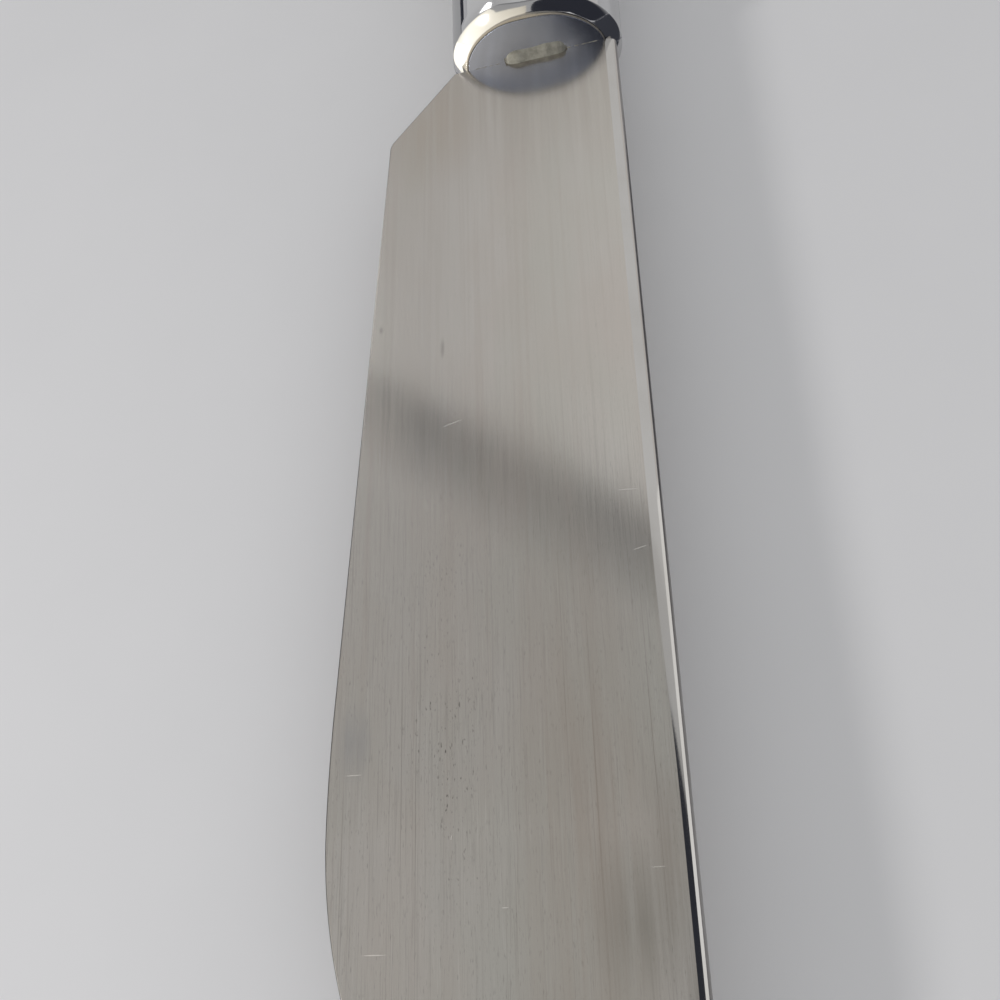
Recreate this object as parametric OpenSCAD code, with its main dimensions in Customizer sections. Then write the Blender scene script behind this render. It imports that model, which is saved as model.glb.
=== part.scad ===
// Hollow-handle butter knife, lying flat on a surface.
// +Y runs from the tip to the butt, +X is the spine side and +Z is up.
// The origin is under the middle of the knife's box, on the surface it lies on.

/* [Blade] */
// Length of the blade from the end cap to the tip
blade_len = 70; // [62:0.5:80]
// Greatest width of the blade, at the belly
blade_w = 19; // [18:0.1:21]
// Width of the blade at the heel corner
heel_w = 16.3; // [15:0.1:17.5]
// Width of the blade where its shoulders meet the end cap
neck_w = 11.6; // [10:0.1:12.5]
// Distance of the spine from the middle of the handle
spine_offset = 5.6; // [5:0.1:6.5]
// Distance from the end cap to the heel corner
heel_run = 5.3; // [4:0.1:7]
// Radius that rounds the heel corner
heel_r = 1.2; // [0.4:0.1:2]
// Distance from the end cap to the widest place of the blade
belly_run = 51; // [48:0.5:56]
// Radius of the belly where the straight edge ends
belly_r = 100; // [60:5:120]
// Distance of the end of the tip from the line of the spine
tip_offset = 6.3; // [4:0.1:10]
// Length over which the spine curves into the tip
spine_curve = 8; // [4:0.5:12]
// Thickness of the blade along the spine, and of its tang
spine_t = 1.6; // [1.2:0.05:2.2]
// Thickness of the blade along the edge
edge_t = 0.5; // [0.3:0.05:0.8]
// Width of the bevel on each side of the spine
bevel_w = 0.9; // [0.3:0.05:1.4]
// Depth of the bevel on each side of the spine
bevel_d = 0.35; // [0.1:0.05:0.45]

/* [Tang] */
// Length of the tang behind the face of the end cap
tang_len = 40; // [25:0.5:60]
// Width of the tang
tang_w = 4.2; // [4:0.1:8]
// Radius of the keying notches in the sides of the tang
notch_r = 0.9; // [0.4:0.1:1.2]

/* [Handle] */
// Length of the handle from the face of the end cap to the butt
handle_len = 90; // [82:0.5:110]
// Greatest width of the handle
handle_w = 16.4; // [15.5:0.1:20]
// Greatest thickness of the handle, between its flats
handle_t = 11.8; // [10.4:0.1:12.2]
// Width of the handle at its front
front_w = 12; // [11:0.1:13.5]
// Thickness of the handle at its front, between its flats
front_t = 9.7; // [8.8:0.1:9.8]
// Depth of the flats at the front, cut into the oval of the handle
flat_d = 0.12; // [0.05:0.01:0.25]
// Distance from the front of the handle to its widest place
swell_run = 76; // [60:0.5:78]
// Radius that rounds the front rim of the handle
rim_r = 0.9; // [0.3:0.05:1]
// Thickness of the pressed sheet of the handle
wall = 0.6; // [0.4:0.05:0.8]
// Width of the lip that the sheet turns in round the end cap
lip_w = 1; // [0.8:0.05:1.4]

/* [End cap and joints] */
// Thickness of the end cap
cap_t = 1.2; // [0.8:0.1:2]
// Width of the braze between the end cap and the lip of the handle
cap_gap = 0.1; // [0.05:0.01:0.2]
// Width of the solder between the tang and the slot of the end cap
slot_gap = 0.12; // [0.05:0.01:0.2]
// Thickness of the braze between the rims of the two shells
seam_t = 0.1; // [0.05:0.01:0.2]
// Clearance between the cement and what it fills
core_gap = 0.05; // [0.02:0.01:0.1]

/* [Hidden] */
$fn = 96;

// Steps along the round stretches
arc_steps = 8;
tip_steps = 24;
swell_steps = 24;
butt_steps = 12;
// Overrun of every cut past the faces that it cuts
over = 1;
// Places of the keying notches along the tang
notch_shares = [0.35, 0.55, 0.75];
// Greatest part of the lip that the rounding of the front rim may take
rim_limit_share = 0.9;

steel = [0.62, 0.61, 0.59];
polish = [0.80, 0.80, 0.82];
braze = [0.74, 0.70, 0.58];
cement = [0.72, 0.69, 0.63];

// Place of the middle of the handle's front, which puts the origin under the middle of the box
low_x = -max(blade_w - spine_offset, handle_w / 2);
high_x = max(spine_offset, handle_w / 2);
seat = [-(low_x + high_x) / 2, (blade_len - handle_len) / 2, handle_t / 2];

// Points on an ellipse about a centre, from one angle to another
function sweep(centre, radii, from, to, steps) = [
    for (i = [0 : steps])
        let (a = from + (to - from) * i / steps)
        [centre[0] + radii[0] * cos(a), centre[1] + radii[1] * sin(a)]
];

function mirrored(points) = [for (i = [len(points) - 1 : -1 : 0]) [-points[i][0], points[i][1]]];

// Angle of the straight edge to the spine, tangent to the belly
flare_rise = blade_w - heel_w;
flare_run = belly_run - heel_run;
flare_fall = 2 * belly_r - flare_rise;
flare = 2 * atan((flare_run - sqrt(pow(flare_run, 2) - flare_rise * flare_fall)) / flare_fall);

// Centre of the arc that rounds the heel corner, between the slanted shoulder and the edge
slant = atan((heel_w - neck_w) / heel_run);
heel_turn = (slant - flare) / 2;
heel_mid = (slant + flare) / 2;
heel_centre = [heel_w, heel_run] - heel_r / cos(heel_turn) * [cos(heel_mid), -sin(heel_mid)];

// Outline of the blade, as distances from the spine and from the end cap
blade_outline = concat(
    [[0, 0], [neck_w, 0]],
    sweep(heel_centre, [heel_r, heel_r], -slant, -flare, arc_steps),
    sweep([blade_w - belly_r, belly_run], [belly_r, belly_r], -flare, 0, arc_steps),
    sweep([tip_offset, belly_run], [blade_w - tip_offset, blade_len - belly_run], 0, 90, tip_steps),
    sweep([tip_offset, blade_len - spine_curve], [tip_offset, spine_curve], 90, 180, tip_steps)
);

// Half the thickness of the blade at a distance from the spine
function half_t(from_spine) = (spine_t - (spine_t - edge_t) * from_spine / blade_w) / 2;

// Upper half of the blade's section: the bevel of the spine, then the wedge down to the edge
bevel_slope = (half_t(bevel_w) - (spine_t / 2 - bevel_d)) / bevel_w;
half_section = [
    [over, spine_t / 2 - bevel_d - bevel_slope * over],
    [-bevel_w, half_t(bevel_w)],
    [-blade_w - over, half_t(blade_w + over)]
];
lower_section = [for (i = [len(half_section) - 1 : -1 : 0]) [half_section[i][0], -half_section[i][1]]];

// Half-width of the swelling handle at a distance from its front, inset within its outer form
function swell_half(along, inset) =
    front_w / 2 - inset + (handle_w - front_w) / 2 * pow(sin(90 * along / swell_run), 2);

// One side of the handle's plan past a starting distance, inset within its outer form
function handle_side(start, inset) = concat(
    [
        for (i = [1 : swell_steps - 1])
            let (along = start + (swell_run - start) * i / swell_steps)
            [swell_half(along, inset), along]
    ],
    sweep([0, swell_run], [handle_w / 2 - inset, handle_len - inset - swell_run], 0, 90, butt_steps)
);

// Half-width and half-thickness of the handle's oval at its front, inset within its outer form
function front_half(inset) = [front_w / 2 - inset, front_t / 2 + flat_d - inset];

// Upper edge of the space between the flats: it rises to the widest place and is level behind it
function flats_side(inset) =
    let (low = front_t / 2 - inset, high = handle_t / 2 - inset, rise = (high - low) / swell_run)
    [[-over, low - rise * over], [swell_run, high], [handle_len + over, high]];

function flats_back(inset) =
    let (points = flats_side(inset))
    [for (i = [len(points) - 1 : -1 : 0]) [points[i][0], -points[i][1]]];

rim = min(rim_r, rim_limit_share * lip_w);
outer_side = concat(
    sweep([front_w / 2 - rim, rim], [rim, rim], -90, 0, arc_steps),
    handle_side(rim, 0)
);
inner_side = concat([[swell_half(wall, wall), wall]], handle_side(wall, wall));
core_inset = wall + core_gap;
core_side = concat([[swell_half(cap_t, core_inset), cap_t]], handle_side(cap_t, core_inset));

cap_inset = lip_w + cap_gap;

// The handle's form, inset within its outer one: a round form flattened to an oval, between two flats
module handle_form(side, inset) {
    half = front_half(inset);
    intersection() {
        scale([1, 1, half[1] / half[0]])
            rotate([-90, 0, 0])
                rotate_extrude()
                    polygon(concat([[0, side[0][1]]], side));
        rotate([90, 0, 90])
            linear_extrude(height = 2 * handle_w, center = true)
                polygon(concat(flats_side(inset), flats_back(inset)));
    }
}

// The space above the seam, where side is 1, or below it, where side is -1, from a gap beside the seam
module half_space(side, gap) {
    translate([-handle_w, -over, side > 0 ? gap : -handle_t - gap])
        cube([2 * handle_w, handle_len + 2 * over, handle_t]);
}

// The tang with its keying notches, grown on all sides by a clearance
module tang(grow) {
    difference() {
        translate([-tang_w / 2 - grow, 0, -spine_t / 2 - grow])
            cube([tang_w + 2 * grow, tang_len + grow, spine_t + 2 * grow]);
        for (share = notch_shares, side = [-1, 1])
            translate([side * (tang_w / 2 + grow), share * tang_len, 0])
                cylinder(r = notch_r, h = spine_t + 2 * over, center = true);
    }
}

module blade() {
    color(steel) {
        intersection() {
            translate([spine_offset, 0, 0])
                rotate([0, 0, 180])
                    linear_extrude(height = 2 * spine_t, center = true)
                        polygon(blade_outline);
            translate([spine_offset, over, 0])
                rotate([90, 0, 0])
                    linear_extrude(height = blade_len + 2 * over)
                        polygon(concat(half_section, lower_section));
        }
        tang(0);
    }
}

// A plate across the front of the handle, from a flat outline
module front_plate(thickness) {
    rotate([-90, 0, 0])
        linear_extrude(height = thickness)
            children();
}

// The oval of the handle's front with its two flats, inset within its outer form
module front_outline(inset) {
    half = front_half(inset);
    intersection() {
        scale([1, half[1] / half[0]])
            circle(r = half[0]);
        square([front_w, front_t - 2 * inset], center = true);
    }
}

module slot_outline() {
    square([tang_w + 2 * slot_gap, spine_t + 2 * slot_gap], center = true);
}

module end_cap() {
    color(polish)
        front_plate(cap_t)
            difference() {
                front_outline(cap_inset);
                slot_outline();
            }
}

// One half of the handle: side is 1 for the half above the seam and -1 for the half below it
module shell(side) {
    color(polish)
        intersection() {
            difference() {
                handle_form(outer_side, 0);
                handle_form(inner_side, wall);
                translate([0, -over, 0])
                    front_plate(over + wall + over)
                        front_outline(lip_w);
            }
            half_space(side, seam_t / 2);
        }
}

module seam_braze() {
    color(braze)
        linear_extrude(height = seam_t, center = true)
            difference() {
                polygon(concat(outer_side, mirrored(outer_side)));
                polygon(concat(inner_side, mirrored(inner_side)));
                translate([lip_w - front_w / 2, -over])
                    square([front_w - 2 * lip_w, over + wall + over]);
            }
}

module cap_braze() {
    color(braze)
        front_plate(wall)
            difference() {
                front_outline(lip_w);
                front_outline(cap_inset);
            }
}

module root_solder() {
    color(braze)
        front_plate(cap_t)
            difference() {
                slot_outline();
                square([tang_w, spine_t], center = true);
            }
}

module cement_core() {
    color(cement)
        difference() {
            for (side = [1, -1])
                intersection() {
                    handle_form(core_side, core_inset);
                    half_space(side, 0);
                }
            tang(core_gap);
        }
}

module place() {
    translate(seat)
        children();
}

place() blade();
place() end_cap();
place() shell(1);  // upper_shell
place() shell(-1);  // lower_shell
place() seam_braze();
place() cap_braze();
place() root_solder();
place() cement_core();
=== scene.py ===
"""Looks of a hollow-handle butter knife that lies on a pale floor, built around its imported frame.

Sizes are in millimetres and become metres where a mesh is made.
"""

import math

import bmesh
import bpy
from mathutils import Matrix, Vector, noise


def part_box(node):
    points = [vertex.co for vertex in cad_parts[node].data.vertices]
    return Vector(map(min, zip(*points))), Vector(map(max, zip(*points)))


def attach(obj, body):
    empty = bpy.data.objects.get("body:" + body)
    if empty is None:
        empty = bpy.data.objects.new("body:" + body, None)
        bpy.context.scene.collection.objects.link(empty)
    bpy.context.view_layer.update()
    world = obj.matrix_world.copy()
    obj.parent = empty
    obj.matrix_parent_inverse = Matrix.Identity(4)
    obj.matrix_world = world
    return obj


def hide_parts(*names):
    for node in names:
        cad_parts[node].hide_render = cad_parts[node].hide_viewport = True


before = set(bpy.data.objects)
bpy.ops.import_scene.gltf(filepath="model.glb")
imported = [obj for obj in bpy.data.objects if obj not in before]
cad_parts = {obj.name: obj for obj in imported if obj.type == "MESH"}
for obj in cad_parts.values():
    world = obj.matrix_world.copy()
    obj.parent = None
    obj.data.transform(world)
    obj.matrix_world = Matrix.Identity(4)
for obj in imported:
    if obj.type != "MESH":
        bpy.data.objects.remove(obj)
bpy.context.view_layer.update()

MM = 0.001


def box_mm(node):
    """Lowest and highest corner of a node, in millimetres."""
    low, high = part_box(node)
    return low / MM, high / MM


# Places and sizes that the frame gives
blade_low, blade_high = box_mm("blade")
cap_low, cap_high = box_mm("end_cap")
shell_low, shell_high = box_mm("upper_shell")

JUNCTION_Y = cap_low.y
SPINE_X = blade_high.x
MID_Z = (blade_low.z + blade_high.z) / 2
AXIS_X = (shell_low.x + shell_high.x) / 2
BLADE_W = blade_high.x - blade_low.x
BLADE_LEN = JUNCTION_Y - blade_low.y
SPINE_T = blade_high.z - blade_low.z
TANG_LEN = blade_high.y - JUNCTION_Y
CAP_T = cap_high.y - cap_low.y
HANDLE_W = shell_high.x - shell_low.x
HANDLE_LEN = shell_high.y - JUNCTION_Y
HANDLE_T = 2 * (shell_high.z - MID_Z)
SEAM_T = 2 * (shell_low.z - MID_Z)

# Outline of the blade, as in the part's source
NECK_W = 11.6
HEEL_W = 16.3
HEEL_RUN = 5.3
HEEL_R = 1.2
BELLY_RUN = 51
BELLY_R = 100
TIP_OFFSET = 6.3
SPINE_CURVE = 8
EDGE_T = 0.5

# Tang, as in the part's source
TANG_W = 4.2
NOTCH_R = 0.9
NOTCH_SHARES = (0.35, 0.55, 0.75)

# Handle and joints, as in the part's source
FRONT_W = 12
FRONT_T = 9.7
FLAT_D = 0.12
SWELL_RUN = 76
WALL = 0.6
LIP_W = 1
CAP_GAP = 0.1
SLOT_GAP = 0.12

# Rounding of the handle's front rim: its reach across the front, its run along the side and its flatness
RIM_R = 0.95
RIM_RUN = 0.72
RIM_FLATNESS = 1.8

# Facets of the spine and of the fine edges round the rest of the blade: a bevel, a worn line and a side
BEVEL_W = 0.5
BEVEL_TIP_W = 0.28
BEVEL_NARROWS = (38, 51)
SPINE_WIDTHS = (0.15, 0.1)
SPINE_TILTS = ((5, 24), (28, 38), (46, 80))
EDGE_WIDTHS = (0.03, 0.04, 0.04)
EDGE_TILTS = ((3, 14), (22, 42), (50, 75))
FACET_STEPS = 5

# Softening of the edges of the handle's flats and of the end cap, and recess of the braze and solder
FLAT_BLEND = 0.3
CAP_EDGE_R = 0.03
JOINT_RECESS = 0.01

# Solder at the root of the blade: a bead over the tang and a thin uneven line beside it
BEAD_LEN = 8.8
BEAD_BODY = 4.3
BEAD_HEIGHT = 0.78
BEAD_REACH = 0.36
BEAD_THIN = 0.06
BEAD_WANDER = 0.12
BEAD_LUMPS = 1.2
BEAD_SINK = 0.01
BEAD_SQUARENESS = 8
BEAD_ROUNDNESS = 0.5

# Uneven fields along the bead: steps of the noise along it and between the two faces, and where it starts
BEAD_WANDER_FIELD = (5, 3, 0.4)
BEAD_LUMP_FIELD = (16, 5, 2.3)

# Counts of steps along the round stretches
SHOULDER_STEPS = 14
HEEL_STEPS = 14
EDGE_STEPS = 60
BELLY_STEPS = 20
TIP_STEPS = 60
SPINE_CURVE_STEPS = 40
SPINE_STEPS = 80
TANG_STEPS = 160
RIM_STEPS = 14
SWELL_STEPS = 72
BUTT_STEPS = 28
HALF_TURN_STEPS = 72
OVAL_STEPS = 160
CAP_EDGE_STEPS = 4
BEAD_STEPS = 110
BEAD_SLOPE_STEPS = 6

# Angles past which an edge stays sharp
BLADE_CREASE = math.radians(4)
HANDLE_CREASE = math.radians(35)
SOLDER_CREASE = math.radians(45)
CAP_CREASE = math.radians(50)


def lerp(low, high, share):
    return low + (high - low) * share


def smooth_step(low, high, value):
    share = min(max((value - low) / (high - low), 0), 1)
    return share * share * (3 - 2 * share)


def soft_min(first, second, blend):
    """The lower of two lengths, with their corner rounded off over a blend."""
    share = max(blend - abs(first - second), 0) / blend
    return min(first, second) - share * share * blend / 4


def arc(centre, radii, start, end, steps):
    """Points on an ellipse about a centre, from one angle to another."""
    points = []
    for i in range(steps + 1):
        angle = lerp(start, end, i / steps)
        x = centre[0] + radii[0] * math.cos(angle)
        y = centre[1] + radii[1] * math.sin(angle)
        points.append(Vector((x, y)))
    return points


def straight(start, end, steps):
    """Points between two points, without the points themselves."""
    return [start.lerp(end, i / steps) for i in range(1, steps)]


def blade_point(from_spine, from_cap, height):
    """A point of the blade, from its distances from the spine, the end cap and the middle plane."""
    return (SPINE_X - from_spine, JUNCTION_Y - from_cap, MID_Z + height)


def make_piece(name, points, faces, materials, sharp_angle):
    """A closed mesh from points in millimetres, smooth but for edges sharper than an angle."""
    mesh = bpy.data.meshes.new(name)
    mesh.from_pydata([Vector(p) * MM for p in points], [], faces)
    form = bmesh.new()
    form.from_mesh(mesh)
    bmesh.ops.recalc_face_normals(form, faces=form.faces)
    form.to_mesh(mesh)
    form.free()
    for polygon in mesh.polygons:
        polygon.use_smooth = True
    mesh.set_sharp_from_angle(angle=sharp_angle)
    for material in materials:
        mesh.materials.append(material)
    piece = bpy.data.objects.new(name, mesh)
    bpy.context.scene.collection.objects.link(piece)
    return piece


def dress(piece, slot, *nodes):
    """Lets a piece ride on the knife and stand for its nodes; the slot is not used."""
    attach(piece, "root")
    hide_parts(*nodes)


def strip_faces(first, second, closed):
    """Quads between two rows of point numbers."""
    count = len(first)
    last = count if closed else count - 1
    return [(first[i], first[(i + 1) % count], second[(i + 1) % count], second[i]) for i in range(last)]


def point_rows(first, count, size):
    """Rows of point numbers, from a first number on."""
    return [range(first + i * size, first + (i + 1) * size) for i in range(count)]


def ring_form(loops):
    """Points and faces of a closed ring from loops of points, the last of them joined to the first."""
    rows = point_rows(0, len(loops), len(loops[0]))
    faces = []
    for i, row in enumerate(rows):
        faces += strip_faces(row, rows[(i + 1) % len(rows)], True)
    return [p for loop in loops for p in loop], faces


# Procedural materials

# Finishes: colour, colour where it is tarnished or dark, and the range of roughness
BEVEL_FINISH = ((0.64, 0.625, 0.605, 1), (0.56, 0.54, 0.51, 1), (0.08, 0.14))
# The sides' darker colour is painted shade on the side facets and edges; their dull roughness is their own.
SIDE_FINISH_AND_SHADE = ((0.36, 0.35, 0.34, 1), (0.26, 0.25, 0.24, 1), (0.30, 0.42))
HANDLE_FINISH = ((0.66, 0.66, 0.67, 1), (0.55, 0.54, 0.53, 1), (0.04, 0.12))
# The cap's blue tint is a painted reflection; its satin roughness and handling film are its own.
CAP_FINISH_BLUE_REFLECTION = ((0.44, 0.50, 0.67, 1), (0.36, 0.41, 0.54, 1), (0.12, 0.22))
BRAZE_FINISH = ((0.36, 0.375, 0.41, 1), (0.27, 0.28, 0.31, 1), (0.2, 0.36))
SOLDER_FINISH = ((0.36, 0.355, 0.315, 1), (0.19, 0.187, 0.165, 1), (0.3, 0.45))
BRAZE_METALLIC = 1
SOLDER_METALLIC = 0.35
STEEL_COLOUR = (0.660, 0.628, 0.588, 1)
CEMENT_COLOURS = ((0.52, 0.47, 0.40, 1), (0.63, 0.58, 0.50, 1))
GRIT_COLOUR = (0.30, 0.27, 0.23, 1)
FLOOR_COLOURS = ((0.735, 0.738, 0.754, 1), (0.772, 0.774, 0.791, 1))

# Noise fields: features per metre along each axis, turn about the upright, detail and roughness
BLOTCH_FIELD = ((1500, 60, 60), 0, 3, 0.6)
BRUSH_FIELD = ((5600, 34, 100), 0, 3, 0.6)
FINE_BRUSH_FIELD = ((9000, 90, 100), 0, 2, 0.6)
WEAR_FIELD = ((170, 80, 60), 0, 3, 0.55)
PIT_FIELD = ((11000, 3600, 400), 0, 1, 0.5)
FLOCK_FIELD = ((330, 150, 100), 0, 2, 0.5)
FILM_FIELD = ((150, 110, 150), 0, 4, 0.6)
RUB_FIELD = ((3200, 160, 3200), math.radians(9), 3, 0.6)
HAIR_FIELD = ((3600, 220, 3600), math.radians(-38), 2, 0.6)
MOTTLE_FIELD = ((1900, 1900, 1900), 0, 4, 0.6)
LUMP_FIELD = ((1500, 1500, 1500), 0, 3, 0.6)
GRIT_FIELD = ((1800, 1800, 1800), 0, 5, 0.7)
CEMENT_FIELD = ((240, 240, 240), 0, 3, 0.6)
FLOOR_FIELD = ((60, 60, 60), 0, 3, 0.6)

# Ranges: what goes in at the low and the high end, then what comes out at each end
STAIN_RANGE = (0.35, 0.6, 0.4, 1)
RUBBED_RANGE = (0.3, 0.7, -0.02, 0.02)
WORN_RANGE = (0.35, 0.65, 0.15, 0.19)
GRAIN_RANGE = (0.3, 0.7, -0.5, 0.5)
FLOCK_RANGE = (0.42, 0.60, 0, 0.9)
PIT_RANGE = (0.68, 0.75, 0, 1)
SCRATCH_RANGE = (0, 0.5, 0, 0.55)
TARNISH_RANGE = (0.42, 0.75, 0, 1)
HAIR_RANGE = (0.66, 0.78, 0, -1)
SCRATCHED_RANGE = (-0.6, 0.6, 0.03, 0)
MOTTLE_RANGE = (0.35, 0.7, 0, 1)
CEMENT_RANGE = (0.3, 0.7, 0, 1)
GRIT_RANGE = (0.55, 0.75, 0, 0.6)
GRIT_ROUGHNESS_RANGE = (0.3, 0.7, 0.8, 0.95)

# Ends of the noise between which the roughness runs, on the polished metal and on the joints
FILM_ENDS = (0.35, 0.7)
MOTTLE_ENDS = (0.3, 0.7)

# Height of the bumps in metres, depth of a pit against the brushing, and added roughness of a scratch
GRAIN_HEIGHT = 5e-7
JOINT_HEIGHT = 1e-5
GRIT_HEIGHT = 1e-4
PIT_DEPTH = 2
SCRATCH_ROUGHNESS = 0.3

# Layers on the blade: features per metre across and along, the noise where a layer starts and where it is
# full, its full share and its colour
CLOUDS = (
    (170, 80, 0.40, 0.66, 0.50, (0.610, 0.555, 0.500, 1)),
    (120, 50, 0.46, 0.66, 0.50, (0.600, 0.595, 0.540, 1)),
    (2300, 26, 0.52, 0.72, 0.24, (0.555, 0.490, 0.440, 1)),
)
STREAKS = (
    (5600, 34, 0.60, 0.76, 0.26, (0.430, 0.405, 0.375, 1)),
    (7400, 22, 0.64, 0.75, 0.75, (0.400, 0.370, 0.335, 1)),
    (11000, 260, 0.54, 0.74, 0.28, (0.420, 0.395, 0.365, 1)),
    (11500, 320, 0.46, 0.28, 0.20, (0.780, 0.750, 0.710, 1)),
    (13000, 2200, 0.60, 0.76, 0.45, (0.360, 0.340, 0.315, 1)),
)
CLOUD_UPRIGHT = 60
CLOUD_DETAIL = (3, 0.55)
STREAK_UPRIGHT = 100
STREAK_DETAIL = (3, 0.6)

# Strength of the streaks near the cap and near the tip, and the distances from the cap between which it grows
STREAK_SHARES = (0.25, 1.5)
STREAKS_GROW = (24, 46)

# Stains on the blade: place from the spine and the cap, half-width, half-length, colour and strength
STAINS = (
    (5.0, 0.0, 15.0, 13.0, (0.50, 0.462, 0.415, 1), 0.95),
    (13.6, 4.5, 4.5, 6.0, (0.58, 0.50, 0.42, 1), 0.55),
    (17.6, 46.6, 1.2, 2.4, (0.43, 0.435, 0.46, 1), 0.65),
    (3.0, 56.0, 2.8, 4.0, (0.385, 0.372, 0.335, 1), 0.9),
    (1.4, 52.6, 1.1, 4.6, (0.43, 0.38, 0.33, 1), 0.6),
    (5.3, 51.0, 4.4, 17.0, (0.53, 0.45, 0.385, 1), 0.62),
    (13.2, 62.0, 2.6, 2.4, (0.44, 0.40, 0.36, 1), 0.6),
    (6.4, 62.0, 4.2, 5.5, (0.52, 0.46, 0.40, 1), 0.55),
    (14.5, 64.3, 1.8, 1.8, (0.48, 0.42, 0.36, 1), 0.6),
    (12.5, 22.7, 0.18, 0.9, (0.30, 0.28, 0.25, 1), 0.6),
    (16.6, 20.6, 0.22, 0.3, (0.30, 0.28, 0.26, 1), 0.6),
)

# Pits in the blade: the spot where most of them lie, how far in from its rim they are thickest, their share
# elsewhere and their colour
PIT_SPOT = (12.4, 46.0, 3.4, 11.0)
PIT_CROWD = 0.6
PIT_SPARSE = 0.1
PIT_COLOUR = (0.10, 0.085, 0.075, 1)

# Short scratches on the blade: place from the spine and the cap, half-length and turn in degrees
SCRATCHES = (
    (16.1, 57.0, 0.75, 0), (1.85, 53.5, 0.45, 1), (9.4, 55.05, 0.22, 0), (12.1, 51.7, 0.15, 80),
    (1.4, 37.4, 0.5, 12), (11.9, 28.1, 0.8, 14), (1.8, 33.9, 0.7, -4), (17.5, 48.3, 0.6, 0),
)
SCRATCH_HALF_W = 0.028
SCRATCH_COLOUR = (0.93, 0.90, 0.86, 1)


def new_material(name):
    material = bpy.data.materials.new(name)
    material.use_nodes = True
    return material, material.node_tree, material.node_tree.nodes["Principled BSDF"]


def add_node(tree, kind, **inputs):
    node = tree.nodes.new(kind)
    for name, value in inputs.items():
        node.inputs[name].default_value = value
    return node


def stretched_noise(tree, per_metre, turn, detail, roughness):
    """Noise with its own number of features per metre along each axis, turned about the upright."""
    place = tree.nodes.new("ShaderNodeTexCoord")
    turned = tree.nodes.new("ShaderNodeMapping")
    turned.inputs["Rotation"].default_value = (0, 0, turn)
    scaled = tree.nodes.new("ShaderNodeMapping")
    scaled.inputs["Scale"].default_value = per_metre
    field = add_node(tree, "ShaderNodeTexNoise", Scale=1, Detail=detail, Roughness=roughness)
    tree.links.new(place.outputs["Object"], turned.inputs["Vector"])
    tree.links.new(turned.outputs["Vector"], scaled.inputs["Vector"])
    tree.links.new(scaled.outputs["Vector"], field.inputs["Vector"])
    return field.outputs["Fac"]


def map_range(tree, value, from_low, from_high, to_low, to_high):
    node = tree.nodes.new("ShaderNodeMapRange")
    limits = (("From Min", from_low), ("From Max", from_high), ("To Min", to_low), ("To Max", to_high))
    for name, limit in limits:
        node.inputs[name].default_value = limit
    tree.links.new(value, node.inputs["Value"])
    return node.outputs["Result"]


def math_node(tree, operation, first, second):
    node = tree.nodes.new("ShaderNodeMath")
    node.operation = operation
    for socket, value in zip(node.inputs, (first, second)):
        if isinstance(value, bpy.types.NodeSocket):
            tree.links.new(value, socket)
        else:
            socket.default_value = value
    return node.outputs["Value"]


def mix_colour(tree, share, first, second):
    node = tree.nodes.new("ShaderNodeMix")
    node.data_type = "RGBA"
    sockets = {s.identifier: s for s in node.inputs}
    pairs = (("Factor_Float", share), ("A_Color", first), ("B_Color", second))
    for name, value in pairs:
        if isinstance(value, bpy.types.NodeSocket):
            tree.links.new(value, sockets[name])
        else:
            sockets[name].default_value = value
    return next(s for s in node.outputs if s.identifier == "Result_Color")


def add_bump(tree, shader, height, distance):
    bump = add_node(tree, "ShaderNodeBump", Strength=1, Distance=distance)
    tree.links.new(height, bump.inputs["Height"])
    tree.links.new(bump.outputs["Normal"], shader.inputs["Normal"])


def spot_mask(tree, from_spine, from_cap, half_w, half_len, turn):
    """An oval spot on the blade's flats that fades out to its rim."""
    place = tree.nodes.new("ShaderNodeTexCoord")
    moved = tree.nodes.new("ShaderNodeMapping")
    moved.vector_type = "TEXTURE"
    x, y, z = blade_point(from_spine, from_cap, 0)
    moved.inputs["Location"].default_value = (x * MM, y * MM, z * MM)
    moved.inputs["Rotation"].default_value = (0, 0, turn)
    moved.inputs["Scale"].default_value = (half_w * MM, half_len * MM, BLADE_W * MM)
    reach = tree.nodes.new("ShaderNodeVectorMath")
    reach.operation = "LENGTH"
    tree.links.new(place.outputs["Object"], moved.inputs["Vector"])
    tree.links.new(moved.outputs["Vector"], reach.inputs[0])
    return map_range(tree, reach.outputs["Value"], 0, 1, 1, 0)


def along_blade(tree, start, end, low, high):
    """A value that runs from low to high between two distances from the cap."""
    place = tree.nodes.new("ShaderNodeTexCoord")
    split = tree.nodes.new("ShaderNodeSeparateXYZ")
    tree.links.new(place.outputs["Object"], split.inputs["Vector"])
    first = (JUNCTION_Y - start) * MM
    last = (JUNCTION_Y - end) * MM
    return map_range(tree, split.outputs["Y"], first, last, low, high)


def layered_steel(tree):
    """Colour of the brushed steel: soft clouds, then streaks that grow stronger towards the tip."""
    colour = STEEL_COLOUR
    for across, along, start, full, share, shade in CLOUDS:
        field = stretched_noise(tree, (across, along, CLOUD_UPRIGHT), 0, *CLOUD_DETAIL)
        colour = mix_colour(tree, map_range(tree, field, start, full, 0, share), colour, shade)
    growth = along_blade(tree, *STREAKS_GROW, *STREAK_SHARES)
    for across, along, start, full, share, shade in STREAKS:
        field = stretched_noise(tree, (across, along, STREAK_UPRIGHT), 0, *STREAK_DETAIL)
        streak = math_node(tree, "MULTIPLY", map_range(tree, field, start, full, 0, share), growth)
        colour = mix_colour(tree, streak, colour, shade)
    return colour


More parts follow.
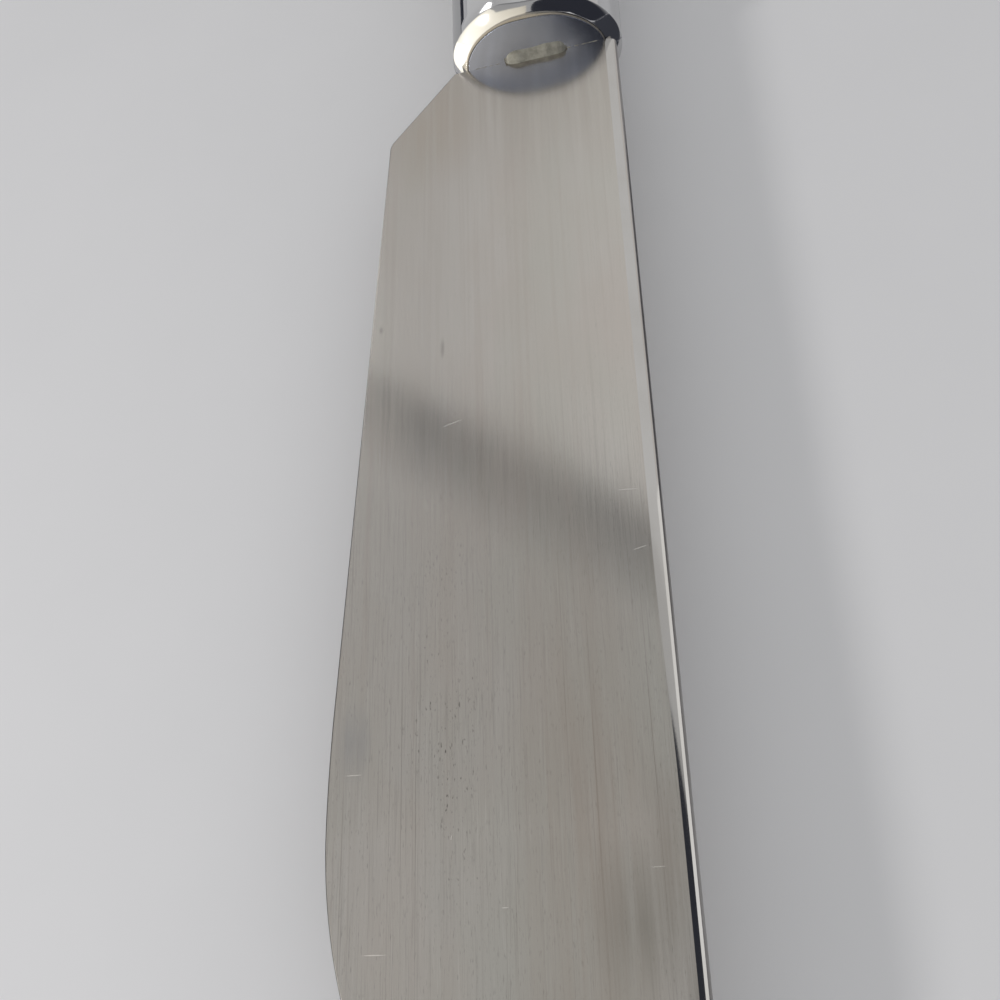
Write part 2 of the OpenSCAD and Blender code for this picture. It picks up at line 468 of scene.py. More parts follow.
def pit_mask(tree):
    """Tiny pits, many in one patch of the blade and few elsewhere."""
    dash = stretched_noise(tree, *PIT_FIELD)
    flock = stretched_noise(tree, *FLOCK_FIELD)
    crowd = map_range(tree, spot_mask(tree, *PIT_SPOT, 0), 0, PIT_CROWD, PIT_SPARSE, 1)
    patch = math_node(tree, "MULTIPLY", map_range(tree, flock, *FLOCK_RANGE), crowd)
    return math_node(tree, "MULTIPLY", map_range(tree, dash, *PIT_RANGE), patch)


def scratch_mask(tree):
    """The short scratches across the brushing."""
    scratched = 0
    for from_spine, from_cap, half_len, turn in SCRATCHES:
        mark = spot_mask(tree, from_spine, from_cap, half_len, SCRATCH_HALF_W, math.radians(turn))
        scratched = math_node(tree, "MAXIMUM", map_range(tree, mark, *SCRATCH_RANGE), scratched)
    return scratched


def steel_material():
    """Blade steel, brushed along its length, with stains, pits and short scratches."""
    material, tree, shader = new_material("brushed_steel")
    shader.inputs["Metallic"].default_value = 1
    blotch = stretched_noise(tree, *BLOTCH_FIELD)
    brush = stretched_noise(tree, *BRUSH_FIELD)
    fine = stretched_noise(tree, *FINE_BRUSH_FIELD)
    wear = stretched_noise(tree, *WEAR_FIELD)
    pits = pit_mask(tree)
    scratched = scratch_mask(tree)

    colour = layered_steel(tree)
    patchy = map_range(tree, blotch, *STAIN_RANGE)
    for *place, shade, strength in STAINS:
        spot = math_node(tree, "MULTIPLY", spot_mask(tree, *place, 0), strength)
        colour = mix_colour(tree, math_node(tree, "MULTIPLY", spot, patchy), colour, shade)
    colour = mix_colour(tree, pits, colour, PIT_COLOUR)
    colour = mix_colour(tree, scratched, colour, SCRATCH_COLOUR)
    tree.links.new(colour, shader.inputs["Base Color"])

    rubbed = map_range(tree, brush, *RUBBED_RANGE)
    worn = math_node(tree, "ADD", map_range(tree, wear, *WORN_RANGE), rubbed)
    scraped = math_node(tree, "MULTIPLY", scratched, SCRATCH_ROUGHNESS)
    tree.links.new(math_node(tree, "ADD", worn, scraped), shader.inputs["Roughness"])
    coarse_grain = map_range(tree, brush, *GRAIN_RANGE)
    grain = math_node(tree, "ADD", coarse_grain, map_range(tree, fine, *GRAIN_RANGE))
    pitted = math_node(tree, "SUBTRACT", grain, math_node(tree, "MULTIPLY", pits, PIT_DEPTH))
    add_bump(tree, shader, pitted, GRAIN_HEIGHT)
    return material


def polish_material(name, colour, tarnish, roughness):
    """Polished metal with fine rubbed scratches and a soft film of handling."""
    material, tree, shader = new_material(name)
    shader.inputs["Metallic"].default_value = 1
    film = stretched_noise(tree, *FILM_FIELD)
    rub = stretched_noise(tree, *RUB_FIELD)
    hair = stretched_noise(tree, *HAIR_FIELD)
    tarnished = mix_colour(tree, map_range(tree, film, *TARNISH_RANGE), colour, tarnish)
    tree.links.new(tarnished, shader.inputs["Base Color"])
    rubbed = map_range(tree, rub, *GRAIN_RANGE)
    scratches = math_node(tree, "ADD", rubbed, map_range(tree, hair, *HAIR_RANGE))
    handled = map_range(tree, film, *FILM_ENDS, *roughness)
    worn = math_node(tree, "ADD", handled, map_range(tree, scratches, *SCRATCHED_RANGE))
    tree.links.new(worn, shader.inputs["Roughness"])
    add_bump(tree, shader, scratches, GRAIN_HEIGHT)
    return material


def joint_material(name, colour, dark, roughness, metallic):
    """Dull solder or braze, mottled and slightly lumpy."""
    material, tree, shader = new_material(name)
    shader.inputs["Metallic"].default_value = metallic
    mottle = stretched_noise(tree, *MOTTLE_FIELD)
    lump = stretched_noise(tree, *LUMP_FIELD)
    mottled = mix_colour(tree, map_range(tree, mottle, *MOTTLE_RANGE), colour, dark)
    tree.links.new(mottled, shader.inputs["Base Color"])
    tree.links.new(map_range(tree, mottle, *MOTTLE_ENDS, *roughness), shader.inputs["Roughness"])
    add_bump(tree, shader, lump, JOINT_HEIGHT)
    return material


def cement_material():
    """Gritty handle cement."""
    material, tree, shader = new_material("handle_cement")
    grit = stretched_noise(tree, *GRIT_FIELD)
    cloud = stretched_noise(tree, *CEMENT_FIELD)
    base = mix_colour(tree, map_range(tree, cloud, *CEMENT_RANGE), *CEMENT_COLOURS)
    speckled = mix_colour(tree, map_range(tree, grit, *GRIT_RANGE), base, GRIT_COLOUR)
    tree.links.new(speckled, shader.inputs["Base Color"])
    tree.links.new(map_range(tree, grit, *GRIT_ROUGHNESS_RANGE), shader.inputs["Roughness"])
    add_bump(tree, shader, grit, GRIT_HEIGHT)
    return material


def floor_material():
    """A pale matt tabletop with a faint mottle."""
    material, tree, shader = new_material("pale_floor")
    mottled = mix_colour(tree, stretched_noise(tree, *FLOOR_FIELD), *FLOOR_COLOURS)
    tree.links.new(mottled, shader.inputs["Base Color"])
    shader.inputs["Specular IOR Level"].default_value = 0
    return material


# The blade

FLARE_RUN = BELLY_RUN - HEEL_RUN
FLARE_RISE = BLADE_W - HEEL_W
FLARE_FALL = 2 * BELLY_R - FLARE_RISE
FLARE = 2 * math.atan((FLARE_RUN - math.sqrt(FLARE_RUN ** 2 - FLARE_RISE * FLARE_FALL)) / FLARE_FALL)
SLANT = math.atan((HEEL_W - NECK_W) / HEEL_RUN)
HEEL_TURN = (SLANT - FLARE) / 2
HEEL_MID = (SLANT + FLARE) / 2
HEEL_OUT = Vector((math.cos(HEEL_MID), -math.sin(HEEL_MID)))
HEEL_CENTRE = Vector((HEEL_W, HEEL_RUN)) - HEEL_R / math.cos(HEEL_TURN) * HEEL_OUT


def half_thickness(from_spine):
    """Half the thickness of the blade's wedge at a distance from the spine."""
    return lerp(SPINE_T, EDGE_T, from_spine / BLADE_W) / 2


def blade_path():
    """Outline from the shoulder round the tip to the spine, with each point's share of the spine's bevel."""
    quarter = math.pi / 2
    shoulder = Vector((NECK_W, 0))
    spine_end = Vector((0, 0))
    heel = arc(HEEL_CENTRE, (HEEL_R, HEEL_R), -SLANT, -FLARE, HEEL_STEPS)
    belly = arc((BLADE_W - BELLY_R, BELLY_RUN), (BELLY_R, BELLY_R), -FLARE, 0, BELLY_STEPS)
    tip_radii = (BLADE_W - TIP_OFFSET, BLADE_LEN - BELLY_RUN)
    tip = arc((TIP_OFFSET, BELLY_RUN), tip_radii, 0, quarter, TIP_STEPS)
    bend_centre = (TIP_OFFSET, BLADE_LEN - SPINE_CURVE)
    bend = arc(bend_centre, (TIP_OFFSET, SPINE_CURVE), quarter, 2 * quarter, SPINE_CURVE_STEPS)
    edge = [shoulder, *straight(shoulder, heel[0], SHOULDER_STEPS), *heel]
    edge += [*straight(heel[-1], belly[0], EDGE_STEPS), *belly, *tip[1:]]
    spine = [*straight(bend[-1], spine_end, SPINE_STEPS), spine_end]
    path = [(p, 0) for p in edge]
    path += [(p, smooth_step(0, 1, i / SPINE_CURVE_STEPS)) for i, p in enumerate(bend) if i > 0]
    return path + [(p, 1) for p in spine]


def rounded(width, tilts, steps):
    """Steps across a rounded facet, as distance outwards and drop, between two tilts."""
    radius = width / (math.sin(tilts[1]) - math.sin(tilts[0]))
    angles = [lerp(tilts[0], tilts[1], i / steps) for i in range(1, steps + 1)]
    start_sin = math.sin(tilts[0])
    start_cos = math.cos(tilts[0])
    return [(radius * (math.sin(a) - start_sin), radius * (start_cos - math.cos(a))) for a in angles]


def facet_steps(from_cap, share):
    """Steps across the facets at a place on the outline, as distance from the outline and drop."""
    bevel_w = lerp(BEVEL_W, BEVEL_TIP_W, smooth_step(*BEVEL_NARROWS, from_cap))
    widths = [lerp(e, s, share) for e, s in zip(EDGE_WIDTHS, (bevel_w, *SPINE_WIDTHS))]
    steps = [(0, 0)]
    for width, edge, spine in zip(widths, EDGE_TILTS, SPINE_TILTS):
        tilts = [math.radians(lerp(e, s, share)) for e, s in zip(edge, spine)]
        start_out, start_drop = steps[-1]
        steps += [(start_out + out, start_drop + drop) for out, drop in rounded(width, tilts, FACET_STEPS)]
    return [(sum(widths) - out, drop) for out, drop in steps]


def blade_sections():
    """Profiles round the outline, each from the upper flat over the side to the lower flat."""
    path = blade_path()
    sections = []
    for i, (place, share) in enumerate(path):
        before = path[max(i - 1, 0)][0]
        after = path[min(i + 1, len(path) - 1)][0]
        along = (after - before).normalized()
        inward = Vector((-along.y, along.x))
        if i == 0:
            inward = Vector((1 / inward.x, 0))
        upper = []
        for offset, drop in facet_steps(place.y, share):
            spot = place + inward * offset
            upper.append((spot.x, spot.y, half_thickness(spot.x) - drop))
        lower = [(w, b, -h) for w, b, h in reversed(upper)]
        sections.append([blade_point(*p) for p in upper + lower])
    return sections


def tang_half_width(along):
    """Half the width of the tang, less where a keying notch is cut."""
    half = TANG_W / 2
    for share in NOTCH_SHARES:
        reach = abs(along - share * TANG_LEN)
        if reach < NOTCH_R:
            half = TANG_W / 2 - math.sqrt(NOTCH_R ** 2 - reach ** 2)
    return half


def tang_rings():
    """Sections of the tang, each as upper edge side, upper spine side, lower spine side, lower edge side."""
    rings = []
    for i in range(TANG_STEPS + 1):
        along = TANG_LEN * i / TANG_STEPS
        half = tang_half_width(along)
        ring = []
        for side, face in ((-1, 1), (1, 1), (1, -1), (-1, -1)):
            x = AXIS_X + side * half
            height = half_thickness(SPINE_X - x) if i == 0 else SPINE_T / 2
            ring.append((x, JUNCTION_Y + along, MID_Z + face * height))
        rings.append(ring)
    return rings


def make_blade(flat_steel, bevel_steel, shaded_side_steel):
    """The blade with its tang: brushed flats, a polished bevel along the spine, and dull sides and edges
    whose darker colour is painted shade.
    """
    sections = blade_sections()
    rings = tang_rings()
    depth = len(sections[0])
    points = [p for section in sections for p in section] + [p for ring in rings for p in ring]
    rows = point_rows(0, len(sections), depth)
    tang_rows = point_rows(len(sections) * depth, len(rings), len(rings[0]))
    edge_top, spine_top, spine_low, edge_low = tang_rows[0]

    faces = [
        [row[0] for row in rows] + [spine_top, edge_top],
        [row[-1] for row in rows] + [spine_low, edge_low],
        [*rows[0], edge_low, edge_top],
        [*rows[-1], spine_low, spine_top],
        list(tang_rows[-1]),
    ]
    for first, second in zip(tang_rows, tang_rows[1:]):
        faces += strip_faces(first, second, True)
    flat_count = len(faces)
    for first, second in zip(rows, rows[1:]):
        faces += strip_faces(first, second, False)
    steels = (flat_steel, bevel_steel, shaded_side_steel)
    blade = make_piece("polished_blade", points, faces, steels, BLADE_CREASE)

    bevel_count = 2 * FACET_STEPS
    spine_start = len(sections) - SPINE_STEPS - SPINE_CURVE_STEPS // 2
    for polygon in blade.data.polygons:
        row, column = divmod(polygon.index - flat_count, depth - 1)
        if polygon.index < flat_count:
            polygon.material_index = 0
        elif row >= spine_start and min(column, depth - 2 - column) < bevel_count:
            polygon.material_index = 1
        else:
            polygon.material_index = 2
    dress(blade, "blade_steel", "blade")


# The handle

def swell_half(along, inset):
    """Half the width of the swelling handle at a distance from its front, inset within its outer form."""
    swell = math.sin(math.pi / 2 * along / SWELL_RUN) ** 2
    return FRONT_W / 2 - inset + (HANDLE_W - FRONT_W) / 2 * swell


def flat_half(along, inset):
    """Half the space between the flats at a distance from the front, inset within the outer form."""
    return lerp(FRONT_T, HANDLE_T, min(max(along / SWELL_RUN, 0), 1)) / 2 - inset


def oval_ratio(inset):
    return (FRONT_T / 2 + FLAT_D - inset) / (FRONT_W / 2 - inset)


def swell_and_butt(start, inset):
    """One side of the handle's plan past a starting distance, up to just short of the end of the butt."""
    places = [lerp(start, SWELL_RUN, i / SWELL_STEPS) for i in range(1, SWELL_STEPS)]
    radii = (HANDLE_W / 2 - inset, HANDLE_LEN - inset - SWELL_RUN)
    butt = arc((0, SWELL_RUN), radii, 0, math.pi / 2, BUTT_STEPS)
    return [Vector((swell_half(along, inset), along)) for along in places] + butt[:-1]


def outer_plan(recess):
    """Outer side of the sheet in plan: the edge of its lip, the rounded rim, then the swelling side."""
    lip = Vector((FRONT_W / 2 - LIP_W, recess))
    rim_side = swell_half(RIM_RUN, recess)
    rim = []
    for turn in arc((0, 0), (1, 1), 0, math.pi / 2, RIM_STEPS):
        out = lerp(FRONT_W / 2 - RIM_R, rim_side, turn.y ** RIM_FLATNESS)
        back = lerp(RIM_RUN, recess, max(turn.x, 0) ** RIM_FLATNESS)
        rim.append(Vector((out, back)))
    return [lip, *rim, *swell_and_butt(RIM_RUN, recess)]


def inner_plan():
    """Inner side of the sheet in plan, with as many places as its outer side."""
    lip = Vector((FRONT_W / 2 - LIP_W, WALL))
    places = [WALL + RIM_RUN * i / RIM_STEPS for i in range(RIM_STEPS + 1)]
    start = [Vector((swell_half(along, WALL), along)) for along in places]
    return [lip, *start, *swell_and_butt(places[-1], WALL)]


def half_turn(half_w, along, inset, side):
    """Points round half of the handle's section, from one rim of the seam over to the other."""
    seam = SEAM_T / 2
    half_t = half_w * oval_ratio(inset)
    start = math.asin(min(seam / half_t, 1))
    row = []
    for i in range(HALF_TURN_STEPS + 1):
        angle = lerp(start, math.pi - start, i / HALF_TURN_STEPS)
        height = soft_min(half_t * math.sin(angle), flat_half(along, inset), FLAT_BLEND)
        height = max(height, seam)
        row.append((AXIS_X + half_w * math.cos(angle), JUNCTION_Y + along, MID_Z + side * height))
    return row


def make_shell(name, node, side, polish):
    outer = [half_turn(p.x, p.y, LIP_W if i == 0 else 0, side) for i, p in enumerate(outer_plan(0))]
    inner = [half_turn(p.x, p.y, LIP_W if i == 0 else WALL, side) for i, p in enumerate(inner_plan())]
    seam_z = MID_Z + side * SEAM_T / 2
    ends = [(AXIS_X, JUNCTION_Y + HANDLE_LEN, seam_z), (AXIS_X, JUNCTION_Y + HANDLE_LEN - WALL, seam_z)]
    width = HALF_TURN_STEPS + 1
    points = [p for row in outer + inner for p in row] + ends
    rows = point_rows(0, len(outer) + len(inner), width)
    out_rows = rows[:len(outer)]
    in_rows = rows[len(outer):]
    out_end = len(points) - 2
    in_end = len(points) - 1

    faces = strip_faces(out_rows[0], in_rows[0], False)
    for skin, end in ((out_rows, out_end), (in_rows, in_end)):
        for first, second in zip(skin, skin[1:]):
            faces += strip_faces(first, second, False)
        faces += [(skin[-1][i], skin[-1][i + 1], end) for i in range(width - 1)]
    for column in (0, -1):
        faces += strip_faces([r[column] for r in out_rows], [r[column] for r in in_rows], False)
        faces.append((out_rows[-1][column], out_end, in_end, in_rows[-1][column]))
    shell = make_piece(name, points, faces, (polish,), HANDLE_CREASE)
    dress(shell, "handle_polish", node)


def make_seam(braze):
    outer = outer_plan(JOINT_RECESS)
    inner = inner_plan()
    out_end = Vector((0, HANDLE_LEN - JOINT_RECESS))
    in_end = Vector((0, HANDLE_LEN - WALL))
    mirrored = Vector((-1, 1))
    out_path = [*outer, out_end, *[p * mirrored for p in reversed(outer)]]
    in_path = [*inner, in_end, *[p * mirrored for p in reversed(inner)]]
    points = []
    for out, within in zip(out_path, in_path):
        corners = ((out, 1), (out, -1), (within, -1), (within, 1))
        for spot, side in corners:
            points.append((AXIS_X + spot.x, JUNCTION_Y + spot.y, MID_Z + side * SEAM_T / 2))
    rows = point_rows(0, len(out_path), len(corners))
    faces = [list(rows[0]), list(rows[-1])]
    for first, second in zip(rows, rows[1:]):
        faces += strip_faces(first, second, True)
    seam = make_piece("handle_seam", points, faces, (braze,), HANDLE_CREASE)
    dress(seam, "silver_braze", "seam_braze")


# The end cap and the joints round it

SLOT_HALF = (TANG_W / 2 + SLOT_GAP, SPINE_T / 2 + SLOT_GAP)
SLOT_CORNER = math.atan2(SLOT_HALF[1], SLOT_HALF[0])
CORNERS = [SLOT_CORNER, math.pi - SLOT_CORNER, math.pi + SLOT_CORNER, 2 * math.pi - SLOT_CORNER]
TURN = sorted([2 * math.pi * i / OVAL_STEPS for i in range(OVAL_STEPS)] + CORNERS)


def oval_loop(inset, depth):
    """The oval of the handle's front with its flats, inset, at a depth behind the front."""
    half_w = FRONT_W / 2 - inset
    half_t = half_w * oval_ratio(inset)
    loop = []
    for angle in TURN:
        reach = 1 / math.hypot(math.cos(angle) / half_w, math.sin(angle) / half_t)
        height = soft_min(abs(reach * math.sin(angle)), flat_half(0, inset), FLAT_BLEND)
        height = math.copysign(height, math.sin(angle))
        loop.append((AXIS_X + reach * math.cos(angle), JUNCTION_Y + depth, MID_Z + height))
    return loop


def slot_loop(half_w, half_t, depth):
    """A rectangle about the tang at a depth behind the front."""
    loop = []
    for angle in TURN:
        across = abs(math.cos(angle)) / half_w
        upright = abs(math.sin(angle)) / half_t
        reach = 1 / max(across, upright)
        x = AXIS_X + reach * math.cos(angle)
        loop.append((x, JUNCTION_Y + depth, MID_Z + reach * math.sin(angle)))
    return loop


def make_cap(polish):
    inset = LIP_W + CAP_GAP
    corner = (CAP_EDGE_R, CAP_EDGE_R)
    edge = arc(corner, corner, -math.pi / 2, -math.pi, CAP_EDGE_STEPS)
    loops = [slot_loop(*SLOT_HALF, CAP_T), slot_loop(*SLOT_HALF, 0)]
    loops += [oval_loop(inset + p.x, p.y) for p in edge]
    loops.append(oval_loop(inset, CAP_T))
    cap = make_piece("front_cap", *ring_form(loops), (polish,), CAP_CREASE)
    dress(cap, "cap_polish", "end_cap")


def make_cap_joint(braze):
    inset = LIP_W + CAP_GAP
    loops = [oval_loop(LIP_W, JOINT_RECESS), oval_loop(LIP_W, WALL)]
    loops += [oval_loop(inset, WALL), oval_loop(inset, JOINT_RECESS)]
    joint = make_piece("cap_joint", *ring_form(loops), (braze,), HANDLE_CREASE)
    dress(joint, "silver_braze", "cap_braze")


def bead_noise(share, face, field):
    along, between, start = field
    return noise.noise(Vector((along * share, between * face, start)))


def bead_ring(share, face):
    """A section of the solder bead on one face of the blade: the corner, then the sloping front."""
    body = max(1 - abs(share * BEAD_LEN / BEAD_BODY) ** BEAD_SQUARENESS, 0) ** BEAD_ROUNDNESS
    wander = bead_noise(share, face, BEAD_WANDER_FIELD)
    lumps = bead_noise(share, face, BEAD_LUMP_FIELD)
    size = max(body * (1 + BEAD_WANDER * wander), BEAD_THIN * (1 + BEAD_LUMPS * lumps))
    x = AXIS_X + share * BEAD_LEN / 2
    base = half_thickness(SPINE_X - x) - BEAD_SINK
    ring = [(x, JUNCTION_Y + BEAD_SINK, MID_Z + face * base)]
    for i in range(BEAD_SLOPE_STEPS + 1):
        climb = i / BEAD_SLOPE_STEPS
        out = BEAD_REACH * size * (1 - climb)
        up = BEAD_HEIGHT * size * climb
        ring.append((x, JUNCTION_Y + BEAD_SINK - out, MID_Z + face * (base + up)))
    return ring


def make_root_solder(solder):
    tang_half = (TANG_W / 2, SPINE_T / 2)
    loops = [slot_loop(*SLOT_HALF, JOINT_RECESS), slot_loop(*SLOT_HALF, CAP_T)]
    loops += [slot_loop(*tang_half, CAP_T), slot_loop(*tang_half, JOINT_RECESS)]
    points, faces = ring_form(loops)
    for face in (1, -1):
        rings = [bead_ring(lerp(-1, 1, i / BEAD_STEPS), face) for i in range(BEAD_STEPS + 1)]
        rows = point_rows(len(points), len(rings), len(rings[0]))
        points += [p for ring in rings for p in ring]
        faces += [list(rows[0]), list(rows[-1])]
        for before, after in zip(rows, rows[1:]):
            faces += strip_faces(before, after, True)
    joint = make_piece("blade_solder", points, faces, (solder,), SOLDER_CREASE)
    dress(joint, "root_solder", "root_solder")


# The stage: floor, light, cards and camera

FLOOR_HALF = 2500
GLOW_LAYER = "glow"
KEY_PLACE = (-193, -156, 138)
KEY_SIZE = 40
KEY_POWER = 0.22
KEY_COLOUR = (1.0, 0.975, 0.95)
BACKDROP_COLOUR = (0.80, 0.80, 0.81, 1)
SKY_ABOVE = 0.47
SKY_AHEAD_GAIN = 0.20
SKY_BEHIND_GAIN = -0.03
FILL_GAIN = 0.42

# How the photograph was taken, in pixels of its 1000 by 1000 frame and in millimetres
FRAME_PX = 1000
FOCAL_PX = 1000
AXIS_VANISH_PX = (437, -1746)
TWIST = math.radians(-14.55)
CAMERA_HEIGHT = 50.4
CAMERA_PAST_SPINE = 4.0
CAMERA_FROM_CAP = 56.7
SENSOR = 36

# Glow of the studio cards
DARK = (0.030, 0.032, 0.042, 1)
DIM = (0.155, 0.155, 0.16, 1)
SHADED = (0.425, 0.425, 0.425, 1)
FAINT = (0.435, 0.435, 0.43, 1)
EVEN = (0.47, 0.47, 0.47, 1)
GREY = (0.38, 0.38, 0.385, 1)
DUSK = (0.05, 0.053, 0.065, 1)
MILD = (0.49, 0.49, 0.49, 1)
BRIGHT = (0.65, 0.65, 0.65, 1)
SOFT = (0.60, 0.58, 0.565, 1)
CREAM = (1.9, 1.82, 1.58, 1)
PALE_CREAM = (1.5, 1.42, 1.22, 1)
TAN = (0.85, 0.78, 0.64, 1)
DIM_TAN = (0.52, 0.49, 0.43, 1)
GLINT = (0.92, 0.92, 0.91, 1)
WHITE = (3, 3, 3, 1)

# Level cards over the blade: their height over its face, their corners past the spine and behind the cap,
# and the glow at each corner
TIP_CARD_HEIGHT = 17
BLADE_CARDS = (
    ("ahead_left_card", CAMERA_HEIGHT,
     ((-40, 12), (0, -17), (0, 80), (-40, 80)), (MILD, BRIGHT, BRIGHT, MILD)),
    ("ahead_right_card", CAMERA_HEIGHT,
     ((0, -17), (90, -17), (90, 80), (0, 80)), (BRIGHT,) * 4),
    ("band_card", CAMERA_HEIGHT,
     ((-44, 13.4), (0, -18), (0, -31), (-44, 0.4)), (DIM, DIM, SHADED, SHADED)),
    ("lens_card", CAMERA_HEIGHT,
     ((0, -34), (9, -36), (60, -48), (60, -130), (-8, -130), (-5, -58)), (DARK,) * 6),
    ("shade_card", CAMERA_HEIGHT,
     ((-44, -0.6), (0, -32), (-3, -46), (-44, -46)), (SHADED, SHADED, FAINT, FAINT)),
    ("faint_card", TIP_CARD_HEIGHT,
     ((-28, -50.3), (-0.5, -50.3), (-4, -80), (-28, -80)), (EVEN, FAINT, FAINT, FAINT)),
)

# Cards just over the floor, as places in plan, with the glow at each corner
FLOOR_CARD_HEIGHT = 0.4
FLOOR_CARDS = (
    ("left_floor_edge",
     ((-6, -10.5), (-8, -13), (-12, -16), (-12, -10.5)), (DUSK, DUSK, CREAM, CREAM)),
    ("left_floor_glow",
     ((-12, -10.5), (-12, -16), (-30, -36), (-110, -120), (-138, -73), (-149, 21)), (CREAM,) * 6),
    ("left_floor_shade",
     ((-4.5, -8), (-60, -8), (-60, 80), (-4.5, 80)), (GREY,) * 4),
    ("right_floor_dark",
     ((9.5, -10.5), (24, -10.5), (100, -30), (100, -96), (84, -84), (12, -40)), (DUSK,) * 6),
)

# Upright cards, as their two ends in plan, their lowest and highest place, and the glow at each corner:
# at the foot of the first and the second end, then at the head of the second and the first
UPRIGHT_CARDS = (
    ("left_window", (-149, 21), (-138, -73), (1, 105), (EVEN, CREAM, PALE_CREAM, EVEN)),
    ("front_window", (-138, -73), (-14, -160), (1, 105), (CREAM, TAN, TAN, PALE_CREAM)),
    ("left_glow", (-149, 21), (-138, -73), (105, 240), (EVEN, PALE_CREAM, DIM_TAN, EVEN)),
    ("front_glow", (-138, -73), (-14, -160), (105, 240), (PALE_CREAM, TAN, DIM_TAN, DIM_TAN)),
    ("left_line", (-38, 12), (-20, 36), (0.5, 5), (DARK,) * 4),
    ("edge_fade", (-14, -20), (-14, -36), (2, 9), (PALE_CREAM, DARK, DARK, PALE_CREAM)),
    ("edge_shade", (-14, -36), (-14, -88), (2, 9), (DARK,) * 4),
    ("spine_window", (20, -38), (20, -82), (10, 18), (GLINT,) * 4),
    ("right_soft", (85, 82), (126, -31), (1, 80), (SOFT,) * 4),
    ("right_fade", (112, -29), (98, -58), (1, 170), (EVEN, DARK, DARK, EVEN)),
    ("right_dark", (98, -58), (105, -190), (1, 170), (DARK,) * 4),
    ("behind_dark", (105, -190), (-34, -215), (1, 110), (DARK,) * 4),
    ("far_window", (-167, 178), (-216, 117), (165, 290), (WHITE,) * 4),
)

WEDGE = math.atan((SPINE_T - EDGE_T) / 2 / BLADE_W)
FACE_ACROSS = Vector((math.cos(WEDGE), 0, math.sin(WEDGE)))
FACE_ALONG = Vector((0, 1, 0))
FACE_NORMAL = Vector((-math.sin(WEDGE), 0, math.cos(WEDGE)))
FACE_CORNER = Vector((SPINE_X, JUNCTION_Y, MID_Z + SPINE_T / 2))


def over_face(past_spine, behind_cap, height):
    """A place over the upper face of the blade, from the corner where its spine meets the end cap."""
    return FACE_CORNER + past_spine * FACE_ACROSS + behind_cap * FACE_ALONG + height * FACE_NORMAL


LENS = over_face(CAMERA_PAST_SPINE, -CAMERA_FROM_CAP, CAMERA_HEIGHT)


def picture_axes():
    """Right, down and ahead in the photograph, from the blade's vanishing point and its twist."""
    right_px = AXIS_VANISH_PX[0] - FRAME_PX / 2
    down_px = AXIS_VANISH_PX[1] - FRAME_PX / 2
    along = Vector((right_px, down_px, FOCAL_PX)).normalized()
    level = Vector((0, 0, 1)).cross(along).normalized()
    across = math.cos(TWIST) * level + math.sin(TWIST) * along.cross(level)
    normal = across.cross(along)
    return [across[i] * FACE_ACROSS + along[i] * FACE_ALONG + normal[i] * FACE_NORMAL for i in range(3)]


def make_camera():
    right, down, ahead = picture_axes()
    lens = bpy.data.cameras.new("camera")
    lens.sensor_width = SENSOR
    lens.lens = SENSOR * FOCAL_PX / FRAME_PX
    lens.clip_start = MM
    camera = bpy.data.objects.new("camera", lens)
    bpy.context.scene.collection.objects.link(camera)
    turn = Matrix((right, -down, -ahead)).transposed().to_4x4()
    camera.matrix_world = Matrix.Translation(LENS * MM) @ turn
    bpy.context.scene.camera = camera


def make_sheet(name, corners, material):
    """A flat stage piece with its corners in millimetres."""
    mesh = bpy.data.meshes.new(name)
    mesh.from_pydata([Vector(c) * MM for c in corners], [], [range(len(corners))])
    mesh.materials.append(material)
    sheet = bpy.data.objects.new(name, mesh)
    bpy.context.scene.collection.objects.link(sheet)
    return sheet


def make_card(name, corners, glows):
    """A studio card with its own glow at each corner, which only shows where metal mirrors it."""
    material, tree, shader = new_material(name)
    glow = tree.nodes.new("ShaderNodeVertexColor")
    glow.layer_name = GLOW_LAYER
    light = tree.nodes.new("ShaderNodeEmission")
    tree.links.new(glow.outputs["Color"], light.inputs["Color"])
    tree.links.new(light.outputs["Emission"], tree.nodes["Material Output"].inputs["Surface"])
    tree.nodes.remove(shader)
    card = make_sheet(name, corners, material)
    layer = card.data.color_attributes.new(GLOW_LAYER, "FLOAT_COLOR", "POINT")
    for corner, colour in zip(layer.data, glows):
        corner.color = colour
    card.visible_camera = False
    card.visible_diffuse = False
    card.visible_transmission = False
    card.visible_volume_scatter = False
    card.visible_shadow = False


def make_cards():
    for name, height, places, glows in BLADE_CARDS:
        make_card(name, [over_face(*place, height) for place in places], glows)
    for name, places, glows in FLOOR_CARDS:
        make_card(name, [(*place, FLOOR_CARD_HEIGHT) for place in places], glows)
    for name, first, last, (low, high), glows in UPRIGHT_CARDS:
        make_card(name, [(*first, low), (*last, low), (*last, high), (*first, high)], glows)


def make_floor():
    half = FLOOR_HALF
    corners = [(-half, -half, 0), (half, -half, 0), (half, half, 0), (-half, half, 0)]
    make_sheet("floor", corners, floor_material())


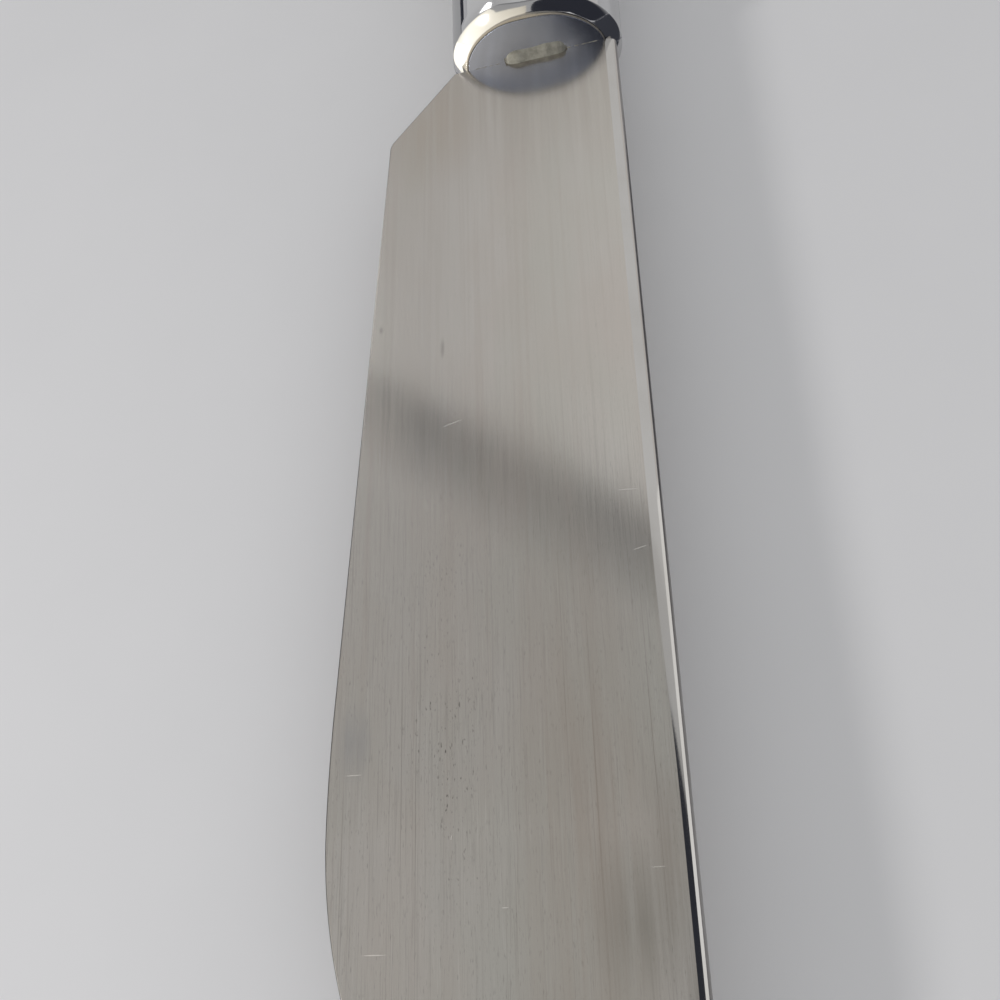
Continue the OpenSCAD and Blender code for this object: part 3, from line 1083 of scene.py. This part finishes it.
def make_key_light():
    lamp = bpy.data.lights.new("key", "AREA")
    lamp.shape = "DISK"
    lamp.size = KEY_SIZE * MM
    lamp.energy = KEY_POWER
    lamp.color = KEY_COLOUR
    light = bpy.data.objects.new("key", lamp)
    bpy.context.scene.collection.objects.link(light)
    light.location = Vector(KEY_PLACE) * MM
    aim = Vector((0, JUNCTION_Y - BLADE_LEN / 2, 0)) * MM
    light.rotation_euler = (aim - light.location).to_track_quat("-Z", "Y").to_euler()


def make_sky():
    """Even light from above, with more of it from ahead and less from behind, and a fill of the shadow."""
    world = bpy.data.worlds.new("soft_sky")
    bpy.context.scene.world = world
    world.use_nodes = True
    tree = world.node_tree
    background = tree.nodes["Background"]
    place = tree.nodes.new("ShaderNodeTexCoord")
    split = tree.nodes.new("ShaderNodeSeparateXYZ")
    tree.links.new(place.outputs["Generated"], split.inputs["Vector"])
    level = SKY_ABOVE
    for way, gain in ((1, SKY_AHEAD_GAIN), (-1, SKY_BEHIND_GAIN)):
        level = math_node(tree, "ADD", map_range(tree, split.outputs["Y"], 0, way, 0, gain), level)
    path = tree.nodes.new("ShaderNodeLightPath")
    fill = map_range(tree, split.outputs["X"], 0, 1, 0, FILL_GAIN)
    level = math_node(tree, "ADD", math_node(tree, "MULTIPLY", fill, path.outputs["Is Diffuse Ray"]), level)
    shown = mix_colour(tree, path.outputs["Is Camera Ray"], level, BACKDROP_COLOUR)
    tree.links.new(shown, background.inputs["Color"])


steel = steel_material()
bevel_steel = polish_material("bevel_steel", *BEVEL_FINISH)
shaded_side_steel = polish_material("dull_shaded_side_steel", *SIDE_FINISH_AND_SHADE)
handle_polish = polish_material("handle_mirror", *HANDLE_FINISH)
cap_polish = polish_material("cap_satin_blue_reflection", *CAP_FINISH_BLUE_REFLECTION)
braze = joint_material("bright_braze", *BRAZE_FINISH, BRAZE_METALLIC)
solder = joint_material("dull_solder", *SOLDER_FINISH, SOLDER_METALLIC)
cement = cement_material()

make_blade(steel, bevel_steel, shaded_side_steel)
make_shell("handle_upper", "upper_shell", 1, handle_polish)
make_shell("handle_lower", "lower_shell", -1, handle_polish)
make_seam(braze)
make_cap(cap_polish)
make_cap_joint(braze)
make_root_solder(solder)
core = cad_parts["cement_core"]
core.data.materials.clear()
core.data.materials.append(cement)

make_camera()
make_floor()
make_key_light()
make_sky()
make_cards()
bpy.context.scene.view_settings.view_transform = "Standard"

bpy.context.view_layer.update()
